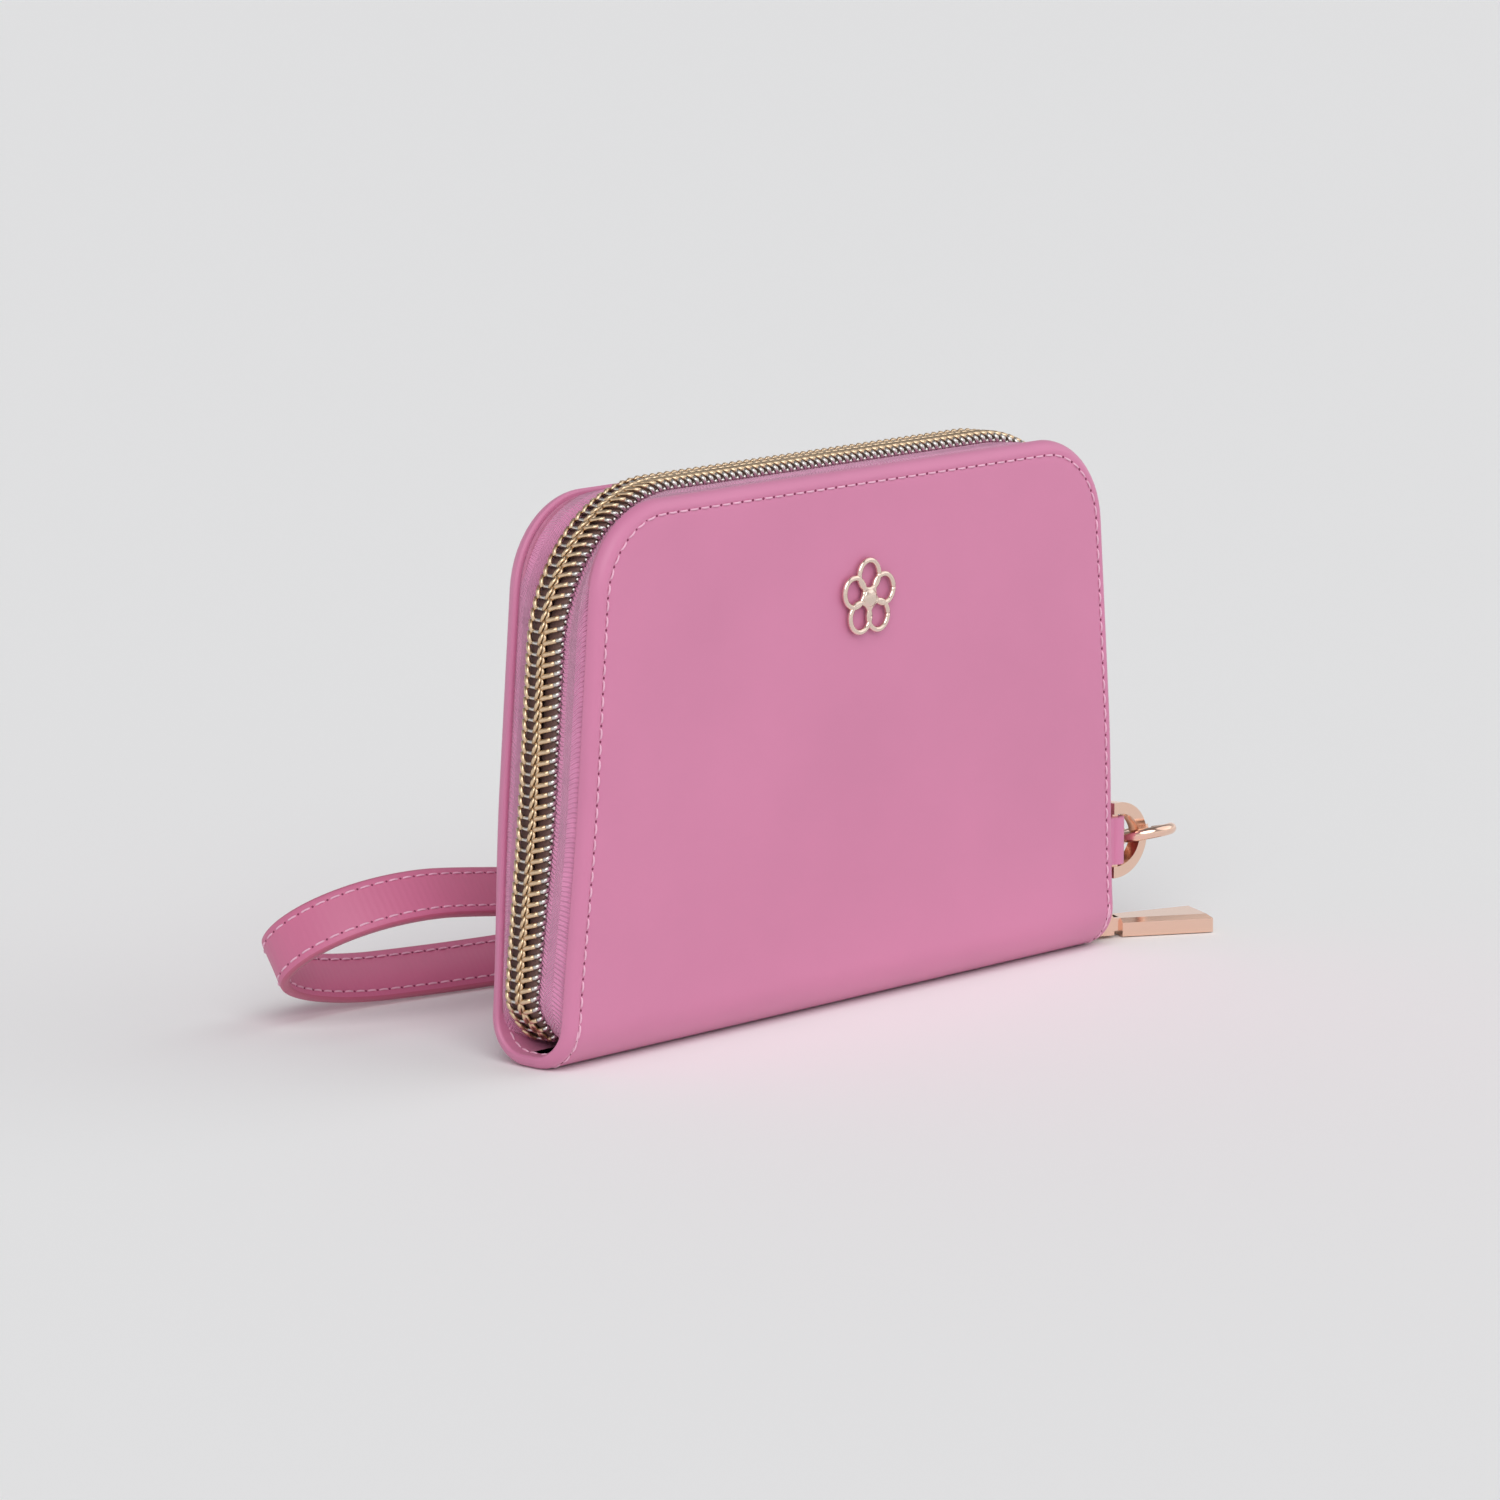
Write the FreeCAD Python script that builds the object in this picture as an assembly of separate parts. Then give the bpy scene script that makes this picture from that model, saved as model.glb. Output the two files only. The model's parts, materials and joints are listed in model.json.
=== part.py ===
import FreeCAD, Part
import math
import os

V = FreeCAD.Vector

# Body of the wallet. X runs along the spine, -Y is the front, Z is up.
HEIGHT = 100.0
HALF_DEPTH = 10.0
SPINE_HALF_WIDTH = 76.9
SIDE_LEAN_DEG = 4.72
CORNER_RADIUS = 17.5
BEND_RADIUS = 7.0
SKIN = 1.0
PAD = 0.8
LINING = 0.6
EDGE_FOLD = 3.0
FOLD_GAP = 0.3

# Zip chain and tape, measured outward from the cover's outline.
TAPE_IN = -0.9
TAPE_OUT = -0.1
CHAIN_OUT = 1.9
CHAIN_HALF_WIDTH = 3.4
CHAIN_HALF_GAP = 0.6
CHAIN_FOOT = 4.0
BACK_CHAIN_FOOT = 15.0

# Card pockets, coin pocket and slip pocket.
CARD_POCKET_TOPS = [82.0, 70.0, 58.0, 46.0]
POCKET_MARGIN = 6.0
SLIP_POCKET_TOP = 62.0
COIN_FRONT = -0.7
COIN_BACK = 2.1
COIN_TOP = 88.0
COIN_BOTTOM = 4.0
COIN_ZIP_HEIGHT = 76.0

# Metalwork at the lower right.
RING_BAR = V(77.8, -7.4, 20.5)
RING_REACH = 7.7
RING_HALF_HEIGHT = 6.2
RING_WIRE = 2.2
RING_DEPTH = 2.6
TAB_HALF_HEIGHT = 4.5
HOOK_CENTRE = V(87.4, -7.4, 20.5)
HOOK_RADIUS = 5.2
HOOK_WIRE = 1.1
HOOK_AXIS = V(-0.08, 0.972, -0.22)
HOOK_LENGTH = 30.0
GATE_PIVOT_DEG = 40.0
GATE_TIP_DEG = -50.0
GATE_RADIUS = 5.6
GATE_WIRE = 0.7
GATE_CLEARANCE = 0.15
PULLER_PIN = V(83.0, -0.5, 2.5)
PULLER_YAW_DEG = -27.0
PULLER_LENGTH = 21.4
SLIDER_HALF_LENGTH = 6.0
SLIDER_HEIGHT = 8.5

# Wrist strap, a loop of two strands that leans back from upright.
STRAP_WIDTH = 10.0
STRAP_PLY = 0.9
STRAP_REACH = 171.5
STRAP_TIP = 27.3
STRAP_SHOULDER = STRAP_REACH - STRAP_TIP
STRAP_SEWN_END = 16.0
STRAP_FLARE_END = 80.0
EYE_SPREAD = 2.0
UPPER_SPREAD = 16.4
LOWER_SPREAD = 12.4
STRAP_SAG = 5.0
STRAP_LEAN_DEG = 48.65
STRAP_HEADING_DEG = -11.46

# Ornament: a wire flower on the front.
FLOWER_CENTRE = V(1.0, -10.0, 76.5)
PETAL_RADIUS = 2.7
PETAL_OFFSET = 4.2
PETAL_WIRE = 0.55
PETALS = 5

os.makedirs("parts", exist_ok=True)
SIDE_LEAN = math.radians(SIDE_LEAN_DEG)


def save(name, shape):
    shape.exportStep("parts/" + name + ".step")


def box(x, y, z):
    """A box between the low and high value on each axis."""
    corner = V(x[0], y[0], z[0])
    return Part.makeBox(x[1] - x[0], y[1] - y[0], z[1] - z[0], corner)


def rod(start, end, radius):
    along = end.sub(start)
    return Part.makeCylinder(radius, along.Length, start, along)


def half_width(z):
    return SPINE_HALF_WIDTH - z * math.tan(SIDE_LEAN)


def outline(offset, low, y, depth):
    """The cover's outline grown by offset, cut flat at height low, as a plate."""
    radius = CORNER_RADIUS + offset
    centre_z = HEIGHT - CORNER_RADIUS
    centre_x = half_width(centre_z) - CORNER_RADIUS / math.cos(SIDE_LEAN)
    shift = offset / math.cos(SIDE_LEAN)

    def corner_point(angle, side):
        across = centre_x + radius * math.cos(angle)
        return V(side * across, y, centre_z + radius * math.sin(angle))

    def side_arc(side):
        middle = (SIDE_LEAN + math.pi / 2) / 2
        points = [corner_point(a, side) for a in (SIDE_LEAN, middle, math.pi / 2)]
        return points, Part.Arc(*points).toShape()

    right, right_arc = side_arc(1)
    left, left_arc = side_arc(-1)
    foot_right = V(half_width(low) + shift, y, low)
    foot_left = V(-half_width(low) - shift, y, low)
    edges = [
        Part.makeLine(foot_right, right[0]),
        right_arc,
        Part.makeLine(right[2], left[2]),
        left_arc,
        Part.makeLine(left[0], foot_left),
        Part.makeLine(foot_left, foot_right),
    ]
    face = Part.Face(Part.Wire(Part.__sortEdges__(edges)))
    return face.extrude(V(0, depth, 0))


def outline_band(inner, outer, low, y, depth):
    """The strip between two offsets of the outline, open at the bottom."""
    hole = outline(inner, low - 1.0, y - 1.0, depth + 2.0)
    return outline(outer, low, y, depth).cut(hole)


def u_solid(inset):
    """The region inside the cover's U-shaped side profile, shrunk by inset."""
    half = HALF_DEPTH - inset
    radius = BEND_RADIUS - inset
    flat = HALF_DEPTH - BEND_RADIUS
    lift = BEND_RADIUS
    diagonal = radius * math.sqrt(0.5)
    x = -SPINE_HALF_WIDTH - 5.0
    top = HEIGHT + 5.0
    front_arc = Part.Arc(V(x, -half, lift), V(x, -flat - diagonal, lift - diagonal), V(x, -flat, inset))
    back_arc = Part.Arc(V(x, flat, inset), V(x, flat + diagonal, lift - diagonal), V(x, half, lift))
    edges = [
        Part.makeLine(V(x, -half, top), V(x, -half, lift)),
        front_arc.toShape(),
        Part.makeLine(V(x, -flat, inset), V(x, flat, inset)),
        back_arc.toShape(),
        Part.makeLine(V(x, half, lift), V(x, half, top)),
        Part.makeLine(V(x, half, top), V(x, -half, top)),
    ]
    face = Part.Face(Part.Wire(Part.__sortEdges__(edges)))
    return face.extrude(V(-2 * x, 0, 0))


def fold_wedge(gap):
    """Everything beyond the fold line at the foot of the back cover."""
    flat = HALF_DEPTH - BEND_RADIUS
    corner = V(-100, flat, BEND_RADIUS)
    points = [corner, V(-100, flat + 60, BEND_RADIUS - 60), V(-100, 130, 0), V(-100, 130, 130)]
    points.append(V(-100, flat, 130))
    points.append(corner)
    wedge = Part.Face(Part.makePolygon(points)).extrude(V(200, 0, 0))
    step = gap * math.sqrt(0.5)
    wedge.translate(V(0, step, step))
    return wedge


def covers():
    body = outline(0, -1.0, -20.0, 40.0)
    skin = u_solid(0).cut(u_solid(SKIN)).common(body)
    save("front_cover", skin.cut(fold_wedge(-FOLD_GAP / 2)))
    save("back_cover", skin.common(fold_wedge(FOLD_GAP / 2)))
    flat = HALF_DEPTH - BEND_RADIUS
    spine_x = (-half_width(0) + 3.0, half_width(0) - 3.0)
    save("spine_board", box(spine_x, (-flat, flat), (SKIN, SKIN + PAD)))
    save("spine_lining", box(spine_x, (-flat, flat), (SKIN + PAD, SKIN + PAD + LINING)))


def front_panels():
    face = -HALF_DEPTH + SKIN
    foot = BEND_RADIUS + 1.0
    save("front_board", outline(-EDGE_FOLD, foot, face, PAD))
    fold = outline_band(-EDGE_FOLD, 0, foot, face, PAD)
    tab_tail = box((72.8, 90), (face, face + PAD), ring_tab_span())
    save("front_turned_edge", fold.cut(tab_tail))
    lining = outline(TAPE_IN, foot, face + PAD, LINING)
    save("front_lining", lining)
    y = face + PAD + LINING
    for number, top in enumerate(CARD_POCKET_TOPS, 1):
        pocket = outline(-POCKET_MARGIN, foot, y, LINING).common(box((-90, 90), (-20, 20), (0, top)))
        save("card_pocket_%d" % number, pocket)
        y += LINING


def back_panels():
    face = HALF_DEPTH - SKIN - PAD
    foot = BEND_RADIUS + 1.0
    save("back_board", outline(-EDGE_FOLD, foot, face, PAD))
    save("back_turned_edge", outline_band(-EDGE_FOLD, 0, foot, face, PAD))
    save("back_lining", outline(TAPE_IN, foot, face - LINING, LINING))
    slip = outline(-POCKET_MARGIN, foot, face - 2 * LINING, LINING)
    save("back_slip_pocket", slip.common(box((-90, 90), (-20, 20), (0, SLIP_POCKET_TOP))))


def zip_halves():
    tape_edge = HALF_DEPTH - SKIN - PAD
    tape_width = tape_edge - CHAIN_HALF_GAP
    chain_width = CHAIN_HALF_WIDTH - CHAIN_HALF_GAP
    save("front_zip_tape", outline_band(TAPE_IN, TAPE_OUT, CHAIN_FOOT, -tape_edge, tape_width))
    save("back_zip_tape", outline_band(TAPE_IN, TAPE_OUT, CHAIN_FOOT, CHAIN_HALF_GAP, tape_width))
    save(
        "front_zip_teeth",
        outline_band(TAPE_OUT, CHAIN_OUT, CHAIN_FOOT, -CHAIN_HALF_WIDTH, chain_width),
    )
    back = outline_band(TAPE_OUT, CHAIN_OUT, CHAIN_FOOT, CHAIN_HALF_GAP, chain_width)
    save("back_zip_teeth", back.cut(box((0, 100), (-10, 10), (0, BACK_CHAIN_FOOT))))
    x = -half_width(CHAIN_FOOT)
    stop = box((x, x + 3.0), (-CHAIN_HALF_WIDTH, CHAIN_HALF_WIDTH), (SKIN + PAD + LINING, CHAIN_FOOT - 0.2))
    save("zip_end_stop", stop)


def coin_pocket():
    """A thin two-walled divider that stands between the two compartments."""
    depth = COIN_BACK - COIN_FRONT
    keep = box((-90, 90), (-20, 20), (COIN_BOTTOM, COIN_TOP))
    front = outline(-POCKET_MARGIN, COIN_BOTTOM, COIN_FRONT, LINING).common(keep)
    back = outline(-POCKET_MARGIN, COIN_BOTTOM, COIN_BACK - LINING, LINING).common(keep)
    slot_x = (-half_width(COIN_ZIP_HEIGHT) + 14, half_width(COIN_ZIP_HEIGHT) - 14)
    slot = box(slot_x, (-20, 20), (COIN_ZIP_HEIGHT - 3.5, COIN_ZIP_HEIGHT + 3.5))
    save("coin_pocket_front", front.cut(slot))
    save("coin_pocket_back", back)
    rim = outline_band(-POCKET_MARGIN - 2.5, -POCKET_MARGIN, COIN_BOTTOM, COIN_FRONT + LINING, depth - 2 * LINING)
    floor_x = (-half_width(COIN_BOTTOM) + 9, half_width(COIN_BOTTOM) - 9)
    floor = box(floor_x, (COIN_FRONT + LINING, COIN_BACK - LINING), (COIN_BOTTOM, COIN_BOTTOM + 2.5))
    save("coin_pocket_binding", rim.fuse(floor).common(keep).removeSplitter())
    lower = box(slot_x, (COIN_FRONT, COIN_FRONT + 0.5), (COIN_ZIP_HEIGHT - 3.5, COIN_ZIP_HEIGHT - 1.0))
    upper = box(slot_x, (COIN_FRONT, COIN_FRONT + 0.5), (COIN_ZIP_HEIGHT + 1.0, COIN_ZIP_HEIGHT + 3.5))
    save("coin_zip_tape", Part.makeCompound([lower, upper]))
    teeth = box(slot_x, (COIN_FRONT - 0.3, COIN_FRONT + 0.7), (COIN_ZIP_HEIGHT - 1.0, COIN_ZIP_HEIGHT + 1.0))
    save("coin_zip_teeth", teeth)
    x = slot_x[1] - 9.0
    plate = box((x, x + 7), (COIN_FRONT - 1.3, COIN_FRONT - 0.4), (COIN_ZIP_HEIGHT - 2.4, COIN_ZIP_HEIGHT + 2.4))
    lug = box((x + 2, x + 5), (COIN_FRONT - 2.1, COIN_FRONT - 1.3), (COIN_ZIP_HEIGHT - 1.0, COIN_ZIP_HEIGHT + 1.0))
    save("coin_zip_slider", plate.fuse(lug).removeSplitter())
    tag = box((x + 2.2, x + 4.8), (COIN_FRONT - 2.0, COIN_FRONT - 1.4), (COIN_ZIP_HEIGHT - 16, COIN_ZIP_HEIGHT - 1.2))
    save("coin_zip_pull", tag)


def ring_tab_span():
    return (RING_BAR.z - TAB_HALF_HEIGHT, RING_BAR.z + TAB_HALF_HEIGHT)


def d_ring_and_tab():
    low, high = ring_tab_span()
    foot = V(RING_BAR.x, RING_BAR.y, low)
    bar_radius = RING_WIRE / 2
    sleeve = Part.makeCylinder(bar_radius + 1.1, high - low, foot)
    tail_y = -HALF_DEPTH + SKIN
    tail = box((72.8, RING_BAR.x), (tail_y, tail_y + PAD), (low, high))
    bore = Part.makeCylinder(bar_radius + 0.08, high - low, foot)
    save("ring_tab", sleeve.fuse(tail).cut(bore).removeSplitter())
    half = RING_HALF_HEIGHT
    y = RING_BAR.y - RING_DEPTH / 2
    outer = half_ellipse(RING_REACH + bar_radius, half + bar_radius, y)
    inner = half_ellipse(RING_REACH - bar_radius, half - bar_radius, y)
    bow = outer.cut(inner)
    ends = []
    for side in (-1, 1):
        z = RING_BAR.z + side * half
        ends.append(
            box((RING_BAR.x - bar_radius, RING_BAR.x), (y, y + RING_DEPTH), (z - bar_radius, z + bar_radius))
        )
    bar = Part.makeCylinder(bar_radius, 2 * half, V(RING_BAR.x, RING_BAR.y, RING_BAR.z - half))
    save("d_ring", bow.multiFuse(ends + [bar]).removeSplitter())


def half_ellipse(reach, half_height, y):
    centre = V(RING_BAR.x, y, RING_BAR.z)
    tall = half_height > reach
    major = V(0, 0, half_height) if tall else V(reach, 0, 0)
    minor = V(reach, 0, 0) if tall else V(0, 0, half_height)
    curve = Part.Ellipse(centre.add(major), centre.add(minor), centre)
    plate = Part.Face(Part.Wire(curve.toShape())).extrude(V(0, RING_DEPTH, 0))
    return plate.common(box((RING_BAR.x, 120), (-50, 50), (-50, 80)))


def on_circle(radius, angle_deg):
    angle = math.radians(angle_deg)
    return V(radius * math.cos(angle), radius * math.sin(angle), 0)


def ring_arc(start_deg, end_deg, radius, wire):
    """A stretch of round wire bent to a circle, in the hook's own flat frame."""
    tangent = on_circle(1.0, start_deg + 90)
    section = Part.Face(Part.Wire(Part.makeCircle(wire, on_circle(radius, start_deg), tangent)))
    return section.revolve(V(0, 0, 0), V(0, 0, 1), end_deg - start_deg)


def place_on_hook(shape):
    """Turn a shape from the hook's flat frame, nose at the origin, into its place."""
    yaw = math.degrees(math.atan2(-HOOK_AXIS.x, HOOK_AXIS.y))
    pitch = math.degrees(math.asin(HOOK_AXIS.z / HOOK_AXIS.Length))
    shape.rotate(V(0, 0, 0), V(1, 0, 0), pitch)
    shape.rotate(V(0, 0, 0), V(0, 0, 1), yaw)
    shape.translate(HOOK_CENTRE)
    return shape


def snap_hook():
    pivot = on_circle(HOOK_RADIUS, GATE_PIVOT_DEG)
    ears = Part.makeCylinder(1.5, 2.6, V(pivot.x, pivot.y, -1.3))
    slot = Part.makeCylinder(1.9, 0.9, V(pivot.x, pivot.y, -0.45))
    pin_hole = Part.makeCylinder(0.45, 4, V(pivot.x, pivot.y, -2))
    neck = rod(V(0, HOOK_RADIUS, 0), V(0, 11, 0), 1.7)
    barrel = rod(V(0, 9.5, 0), V(0, 17, 0), 2.4)
    bore = rod(V(0, 12, 0), V(0, 18, 0), 1.15)
    gate_reach = on_circle(GATE_RADIUS, GATE_TIP_DEG).sub(pivot).Length
    nose_reach = gate_reach + GATE_CLEARANCE
    nose = ring_arc(200, 360 + GATE_TIP_DEG + 10, HOOK_RADIUS, HOOK_WIRE)
    nose = nose.cut(Part.makeCylinder(nose_reach, 4, V(pivot.x, pivot.y, -2)))
    back = ring_arc(GATE_PIVOT_DEG + 8, 200, HOOK_RADIUS, HOOK_WIRE)
    body = back.multiFuse([nose, ears, neck, barrel])
    save("hook_body", place_on_hook(body.cut(slot).cut(pin_hole).cut(bore).removeSplitter()))
    arc = ring_arc(GATE_TIP_DEG - 10, GATE_PIVOT_DEG - 22, GATE_RADIUS, GATE_WIRE)
    arc = arc.common(Part.makeCylinder(gate_reach, 4, V(pivot.x, pivot.y, -2)))
    tongue = Part.makeCylinder(1.1, 0.8, V(pivot.x, pivot.y, -0.4))
    along = on_circle(GATE_RADIUS, GATE_PIVOT_DEG - 24).sub(pivot)
    link = Part.makeBox(along.Length, 1.4, 0.8, V(0, -0.7, -0.4))
    link.rotate(V(0, 0, 0), V(0, 0, 1), math.degrees(math.atan2(along.y, along.x)))
    link.translate(pivot)
    gate_hole = Part.makeCylinder(0.53, 4, V(pivot.x, pivot.y, -2))
    save("hook_gate", place_on_hook(arc.multiFuse([tongue, link]).cut(gate_hole).removeSplitter()))
    save("gate_pin", place_on_hook(Part.makeCylinder(0.45, 2.6, V(pivot.x, pivot.y, -1.3))))


def strap_axes():
    """Along the strands towards the hook, across the strap, and between strands."""
    heading = math.radians(STRAP_HEADING_DEG)
    lean = math.radians(STRAP_LEAN_DEG)
    along = V(math.cos(heading), math.sin(heading), 0)
    level = V(-math.sin(heading), math.cos(heading), 0)
    across = level * math.cos(lean) + V(0, 0, math.sin(lean))
    between = level * math.sin(lean) - V(0, 0, math.cos(lean))
    return along, across, between


def strap_eye():
    return HOOK_CENTRE.add(HOOK_AXIS * HOOK_LENGTH)


def swivel():
    across = strap_axes()[1]
    eye = strap_eye()
    crown = HOOK_CENTRE.add(HOOK_AXIS * 20.5)
    post = rod(HOOK_CENTRE.add(HOOK_AXIS * 12.2), crown, 1.1)
    collar = Part.makeSphere(1.9, crown)
    half = STRAP_WIDTH / 2 + 1.4
    rise = crown.sub(eye)
    rise = rise.sub(across * rise.dot(across)).normalize()
    ends = [eye.add(across * half), eye.sub(across * half)]
    pieces = [collar, rod(ends[0], ends[1], 1.0)]
    for end in ends:
        shoulder = end.add(rise * 4.6)
        pieces.append(rod(end, shoulder, 1.0))
        pieces.append(rod(shoulder, crown, 1.0))
        pieces.append(Part.makeSphere(1.0, end))
        pieces.append(Part.makeSphere(1.0, shoulder))
    save("swivel_eye", post.multiFuse(pieces).removeSplitter())


def strap_sag(s):
    """How far the loop's middle hangs below its straight line at distance s from the eye."""
    reach = max(s - STRAP_SEWN_END, 0.0) / (STRAP_REACH - STRAP_SEWN_END)
    return STRAP_SAG * math.sin(math.pi * reach) ** 2


def strand_spread(s, full):
    """One strand's distance from the middle: sewn together, then flaring to full."""
    narrowing = 0.488
    power = 1.3
    flare = full * (1 - narrowing)
    slope = power * narrowing * full / (STRAP_SHOULDER - STRAP_FLARE_END)
    if s <= STRAP_SEWN_END:
        return EYE_SPREAD
    if s <= STRAP_FLARE_END:
        span = STRAP_FLARE_END - STRAP_SEWN_END
        t = (s - STRAP_SEWN_END) / span
        rise = t * t * (3 - 2 * t)
        return EYE_SPREAD + (flare - EYE_SPREAD) * rise + slope * span * t * t * (t - 1)
    back = max(STRAP_SHOULDER - s, 0.0) / (STRAP_SHOULDER - STRAP_FLARE_END)
    return full * (1 - narrowing * back**power)


def strap_curve(offset):
    """Points of the loop in its own plane, pushed outward by offset."""
    stations = (4.0, 10.0, 16.0, 30.0, 45.0, 60.0, 75.0, 90.0, 105.0, 120.0, 134.0)
    lower = [(s, strap_sag(s) + strand_spread(s, LOWER_SPREAD) + offset) for s in stations]
    upper = [(s, strap_sag(s) - strand_spread(s, UPPER_SPREAD) - offset) for s in stations]
    tip = []
    for step in range(1, 8):
        angle = math.pi / 2 - step * math.pi / 8
        full = LOWER_SPREAD if angle > 0 else UPPER_SPREAD
        s = STRAP_SHOULDER + (STRAP_TIP + offset) * math.cos(angle)
        tip.append((s, strap_sag(s) + (full + offset) * math.sin(angle)))
    return lower + tip + upper[::-1]


def strap_ply(inner, outer):
    along, across, between = strap_axes()
    origin = strap_eye().sub(across * (STRAP_WIDTH / 2))

    def wire(offset):
        placed = [origin.sub(along * s).add(between * t) for s, t in strap_curve(offset)]
        curve = Part.BSplineCurve()
        curve.interpolate(placed)
        return curve.toShape(), placed

    low, low_points = wire(inner)
    high, high_points = wire(outer)
    edges = [low, high]
    edges.append(Part.makeLine(low_points[0], high_points[0]))
    edges.append(Part.makeLine(low_points[-1], high_points[-1]))
    face = Part.Face(Part.Wire(Part.__sortEdges__(edges)))
    return face.extrude(across * STRAP_WIDTH)


def strap():
    along, across, between = strap_axes()
    eye = strap_eye()
    lining = strap_ply(-STRAP_PLY, 0.0)
    face = strap_ply(0.0, STRAP_PLY)
    low = eye.sub(across * (STRAP_WIDTH / 2))
    outer = Part.makeCylinder(2.0 + STRAP_PLY, STRAP_WIDTH, low, across)
    middle = Part.makeCylinder(2.0, STRAP_WIDTH, low, across)
    bore = Part.makeCylinder(1.1, STRAP_WIDTH, low, across)
    beyond = Part.makeBox(20, 40, STRAP_WIDTH + 4, V(-4.0, -20, -2))
    matrix = FreeCAD.Matrix(
        along.x, between.x, across.x, low.x,
        along.y, between.y, across.y, low.y,
        along.z, between.z, across.z, low.z,
    )
    beyond = beyond.transformGeometry(matrix)
    save("strap_lining", lining.fuse(middle.cut(bore).common(beyond)).removeSplitter())
    save("strap_outer", face.fuse(outer.cut(middle).common(beyond)).removeSplitter())
    filler = Part.makeBox(11, 2.1, STRAP_WIDTH, V(0, -1.05, 0)).transformGeometry(matrix)
    filler.translate(along * -15.5)
    save("strap_filler", filler)


def zip_slider():
    """Slider built upright on the chain's centre line, then leaned onto the side."""
    half = SLIDER_HALF_LENGTH
    outer_face = CHAIN_OUT + 0.3
    flange_in = CHAIN_HALF_WIDTH + 0.3
    flange_out = flange_in + 1.2
    inner_face = TAPE_IN - 0.3
    plates = [
        box((outer_face, outer_face + 1.0), (-flange_out, flange_out), (-half, half)),
        box((inner_face - 1.0, inner_face), (-flange_out, flange_out), (-half, half)),
        box((inner_face - 1.0, outer_face + 1.0), (-0.4, 0.4), (-half, -half + 3.0)),
    ]
    for side in (-1, 1):
        edges = sorted((side * flange_in, side * flange_out))
        plates.append(box((TAPE_OUT + 0.6, outer_face + 1.0), edges, (-half, half)))
    body = plates[0].multiFuse(plates[1:])
    body.rotate(V(0, 0, 0), V(0, 1, 0), -SIDE_LEAN_DEG)
    body.translate(V(half_width(SLIDER_HEIGHT), 0, SLIDER_HEIGHT))
    bridge = bridge_ears()
    save("zip_slider_body", body.fuse(bridge).removeSplitter())
    pin = Part.makeCylinder(0.8, 6.6, V(0, -3.3, 0), V(0, 1, 0))
    save("puller_pin", place_puller(pin))


def bridge_ears():
    shape = [(-6.5, -1.9), (1.4, -1.9), (1.4, 1.4), (-2.6, 7.0), (-6.5, 7.0)]
    ears = []
    for low in (-3.3, 2.3):
        points = [V(a, low, z) for a, z in shape]
        ear = Part.Face(Part.makePolygon(points + points[:1])).extrude(V(0, 1.0, 0))
        ears.append(ear)
    ears[0] = ears[0].fuse(ears[1])
    hole = Part.makeCylinder(0.8, 10, V(0, -5, 0), V(0, 1, 0))
    placed = place_puller(ears[0].cut(hole))
    keep = box((half_width(PULLER_PIN.z) + CHAIN_OUT + 0.8, 100), (-20, 20), (0.3, 40))
    return placed.common(keep)


def place_puller(shape):
    shape.rotate(V(0, 0, 0), V(0, 0, 1), PULLER_YAW_DEG)
    shape.translate(PULLER_PIN)
    return shape


def puller():
    tongue = box((-1.3, 4.0), (-2.1, 2.1), (-1.3, 1.2))
    window = box((2.0, 3.2), (-1.2, 1.2), (-3, 3))
    low, high = -2.3, 1.2
    start = 3.2

    def plan(z, shrink):
        points = [
            V(start, -3.2 + shrink, z),
            V(PULLER_LENGTH - shrink, -5.2 + shrink, z),
            V(PULLER_LENGTH - shrink, 5.2 - shrink, z),
            V(start, 3.2 - shrink, z),
        ]
        return Part.makePolygon(points + points[:1])

    slab = Part.Face(plan(low, 0)).extrude(V(0, 0, high - low - 0.8))
    bevel = Part.makeLoft([plan(high - 0.8, 0), plan(high, 1.0)], True)
    hole = Part.makeCylinder(0.88, 10, V(0, -5, 0), V(0, 1, 0))
    body = slab.multiFuse([bevel, tongue]).cut(hole).cut(window)
    save("zip_puller", place_puller(body.removeSplitter()))


def wire_ring(centre, radius):
    """A flat-sided ring that lies on the front cover."""
    outer = Part.makeCylinder(radius + PETAL_WIRE, 2 * PETAL_WIRE, centre, V(0, -1, 0))
    return outer.cut(Part.makeCylinder(radius - PETAL_WIRE, 2 * PETAL_WIRE, centre, V(0, -1, 0)))


def flower():
    loops = []
    for petal in range(PETALS):
        angle = math.pi / 2 + petal * 2 * math.pi / PETALS
        centre = V(PETAL_OFFSET * math.cos(angle), 0, PETAL_OFFSET * math.sin(angle))
        loops.append(wire_ring(FLOWER_CENTRE.add(centre), PETAL_RADIUS))
    heart = Part.makeCylinder(1.9, 2 * PETAL_WIRE, FLOWER_CENTRE, V(0, -1, 0))
    save("flower_ornament", heart.multiFuse(loops).removeSplitter())


covers()
front_panels()
back_panels()
zip_halves()
coin_pocket()
d_ring_and_tab()
snap_hook()
swivel()
strap()
zip_slider()
puller()
flower()
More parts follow.
